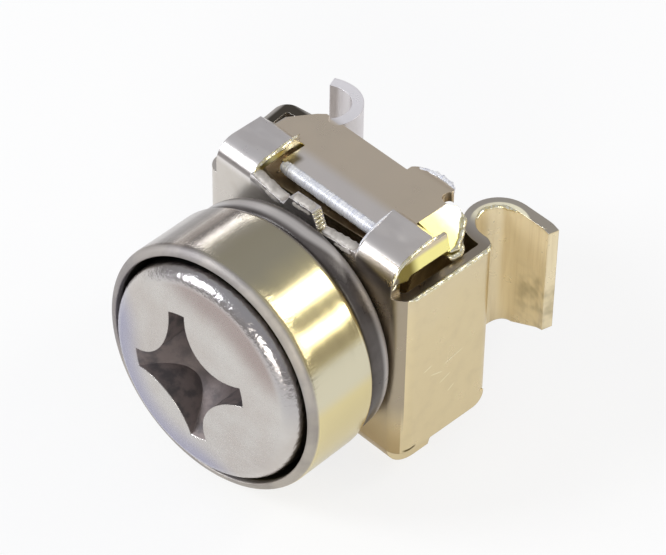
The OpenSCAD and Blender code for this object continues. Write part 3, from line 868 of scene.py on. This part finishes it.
def crowned_ring():
    """The backing ring with the crowned rim that its clamping has given it."""
    bore, flat, rim = 3.3, 5.2, 6.45
    half = (RING_BACK - CUP_BACK) / 2
    profile = [(bore, RING_BACK), (bore, CUP_BACK), (flat, CUP_BACK)]
    for i in range(17):
        u = -1 + i / 8
        profile.append((rim - 0.08 * u * u - 0.24 * u ** 8, RING_MID + half * u))
    profile.append((flat, RING_BACK))
    ring = lathe("backing_ring_crowned", profile, MATS["backing_ring"])
    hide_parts("backing_ring")


def turned_screw():
    """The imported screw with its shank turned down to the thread's root, and no step at the crown's edge."""
    weld = 0.002 * MM
    inverse = STACK.inverted()
    bm = bmesh.new()
    bm.from_mesh(CAD["screw"].data)
    bmesh.ops.remove_doubles(bm, verts=bm.verts, dist=weld)
    for v in bm.verts:
        q = inverse @ v.co
        out = math.hypot(q.x, q.y)
        if q.z > (SEAT - 0.02) * MM and SHANK_IN * MM < out < SHANK_OUT * MM:
            q.x *= THREAD_ROOT * MM / out
            q.y *= THREAD_ROOT * MM / out
            v.co = STACK @ q
        elif q.z < CROWN_REAR * MM and CROWN_IN * MM < out < CROWN_OUT * MM:
            q.z = (HEAD_TIP + CROWN_R - math.sqrt(CROWN_R ** 2 - (out / MM) ** 2)) * MM
            v.co = STACK @ q
    bmesh.ops.remove_doubles(bm, verts=bm.verts, dist=weld)
    bm.verts.index_update()
    verts = [v.co / MM for v in bm.verts]
    faces = [[v.index for v in f.verts] for f in bm.faces]
    bm.free()
    body = mesh_piece("screw_turned", verts, faces, MATS["screw"])
    body.data.set_sharp_from_angle(angle=math.radians(28))
    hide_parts("screw")


def screw_thread():
    """Right-hand M6 ridge round the shank, run out at both ends."""
    foot = THREAD_ROOT - 0.06
    ridge = [(-0.45, foot), (-0.07, THREAD_CREST), (0.07, THREAD_CREST), (0.45, foot)]
    start, end = SEAT + 0.6, SHANK_END - 0.5
    steps = int((end - start) / PITCH * THREAD_STEPS)
    verts = []
    for i in range(steps + 1):
        a = 2 * math.pi * i / THREAD_STEPS
        z = start + PITCH * i / THREAD_STEPS
        fade = min(1.0, i / 20, (steps - i) / 30)
        for dz, r in ridge:
            r = foot + (r - foot) * fade
            verts.append(in_stack((r * math.cos(a), r * math.sin(a), z + dz * (0.3 + 0.7 * fade))))
    faces = tube_faces(steps, len(ridge))
    mesh_piece("screw_thread", verts, faces, MATS["screw"], smooth=False)


tongue_roll()
stub_ribs()
turned_cup()
crowned_ring()
turned_screw()
screw_thread()


# ---------------------------------------------------------------- stage, lamps, camera

FLOOR_WHITE = (0.95, 0.95, 0.95, 1)
# Share of plain white that the camera and the reflections see in the floor
GLOW_TO_CAMERA = 0.78
GLOW_TO_MIRRORS = 0.5
WORLD_LEVEL = (0.36, 0.34, 0.33, 1)
WORLD_TOP = (0.50, 0.51, 0.54, 1)

LAMP_DISTANCE = 0.5
WHITE = (1, 1, 1)
DAYLIGHT = (0.92, 0.95, 1.0)
WARM = (1.0, 0.97, 0.90)
CREAM = (1.0, 0.98, 0.92)
# Name, direction, width and height in metres, power, colour and roll in degrees
LAMPS = [
    ("window_left", (-0.50, -0.66, 0.56), (0.16, 0.17), 1.3, DAYLIGHT, 0),
    ("window_right", (0.335, 0.66, 0.67), (0.11, 0.135), 0.34, WARM, 46),
    ("window_right_low", (0.65, 0.67, 0.35), (0.12, 0.038), 0.18, WARM, 0),
    ("strip_left", (-0.76, 0.56, 0.33), (0.12, 0.026), 0.055, WHITE, 0),
    ("rim_right", (0.57, -0.73, 0.35), (0.15, 0.15), 0.7, CREAM, 0),
]

VIEW_AZIMUTH = 45.33
VIEW_ELEVATION = 43.81
VIEW_ROLL = 0.98
VIEW_DISTANCE = 0.180
VIEW_TARGET = (-0.89, -3.25, -0.29)
SENSOR = 36.0
# Focal length in widths of the picture
FOCAL = 3668.4 / 666.0


def floor():
    bpy.ops.mesh.primitive_plane_add(size=3.0, location=(0, 0, cad_box[0][2]))
    o = bpy.context.object
    o.name = "floor"
    g = Graph("floor_white")
    diffuse = g.add("ShaderNodeBsdfDiffuse")
    diffuse.inputs["Color"].default_value = FLOOR_WHITE
    glow = g.add("ShaderNodeEmission")
    glow.inputs["Strength"].default_value = 1.0
    path = g.add("ShaderNodeLightPath")
    mirrored = g.most(path.outputs["Is Glossy Ray"], path.outputs["Is Transmission Ray"])
    seen = g.most(g.times(path.outputs["Is Camera Ray"], GLOW_TO_CAMERA), g.times(mirrored, GLOW_TO_MIRRORS))
    blend = g.add("ShaderNodeMixShader")
    g.link(seen, blend.inputs[0])
    g.link(diffuse.outputs[0], blend.inputs[1])
    g.link(glow.outputs[0], blend.inputs[2])
    g.link(blend.outputs[0], g.out.inputs["Surface"])
    o.data.materials.append(g.mat)


def lamp(name, direction, size, power, colour, roll):
    light = bpy.data.lights.new(name, "AREA")
    light.shape = "RECTANGLE"
    light.size, light.size_y = size
    light.energy = power
    light.color = colour
    o = bpy.data.objects.new(name, light)
    bpy.context.scene.collection.objects.link(o)
    d = Vector(direction).normalized()
    o.location = d * LAMP_DISTANCE
    o.rotation_euler = (d.to_track_quat("Z", "Y") @ Quaternion((0, 0, 1), math.radians(roll))).to_euler()


def world():
    w = bpy.data.worlds.new("studio")
    bpy.context.scene.world = w
    w.use_nodes = True
    t = w.node_tree
    t.nodes.clear()
    out = t.nodes.new("ShaderNodeOutputWorld")
    sky = t.nodes.new("ShaderNodeBackground")
    where = t.nodes.new("ShaderNodeTexCoord")
    split = t.nodes.new("ShaderNodeSeparateXYZ")
    t.links.new(where.outputs["Generated"], split.inputs[0])
    ramp = t.nodes.new("ShaderNodeValToRGB")
    level, top = ramp.color_ramp.elements
    level.position, level.color = 0.0, WORLD_LEVEL
    top.position, top.color = 0.85, WORLD_TOP
    t.links.new(split.outputs[2], ramp.inputs[0])
    t.links.new(ramp.outputs[0], sky.inputs["Color"])
    t.links.new(sky.outputs[0], out.inputs["Surface"])


def camera():
    az, el, roll = (math.radians(v) for v in (VIEW_AZIMUTH, VIEW_ELEVATION, VIEW_ROLL))
    fwd = Vector((-math.cos(el) * math.sin(az), math.cos(el) * math.cos(az), -math.sin(el)))
    level = fwd.cross(Vector((0, 0, 1))).normalized()
    upright = level.cross(fwd)
    right = math.cos(roll) * level + math.sin(roll) * upright
    up = -math.sin(roll) * level + math.cos(roll) * upright
    data = bpy.data.cameras.new("view")
    data.sensor_width = SENSOR
    data.lens = FOCAL * SENSOR
    data.clip_start = 0.005
    data.clip_end = 10.0
    o = bpy.data.objects.new("view", data)
    bpy.context.scene.collection.objects.link(o)
    m = Matrix((right, up, -fwd)).transposed().to_4x4()
    m.translation = Vector(VIEW_TARGET) * MM - fwd * VIEW_DISTANCE
    o.matrix_world = m
    bpy.context.scene.camera = o


floor()
world()
for row in LAMPS:
    lamp(*row)
camera()
bpy.context.scene.view_settings.view_transform = "Standard"
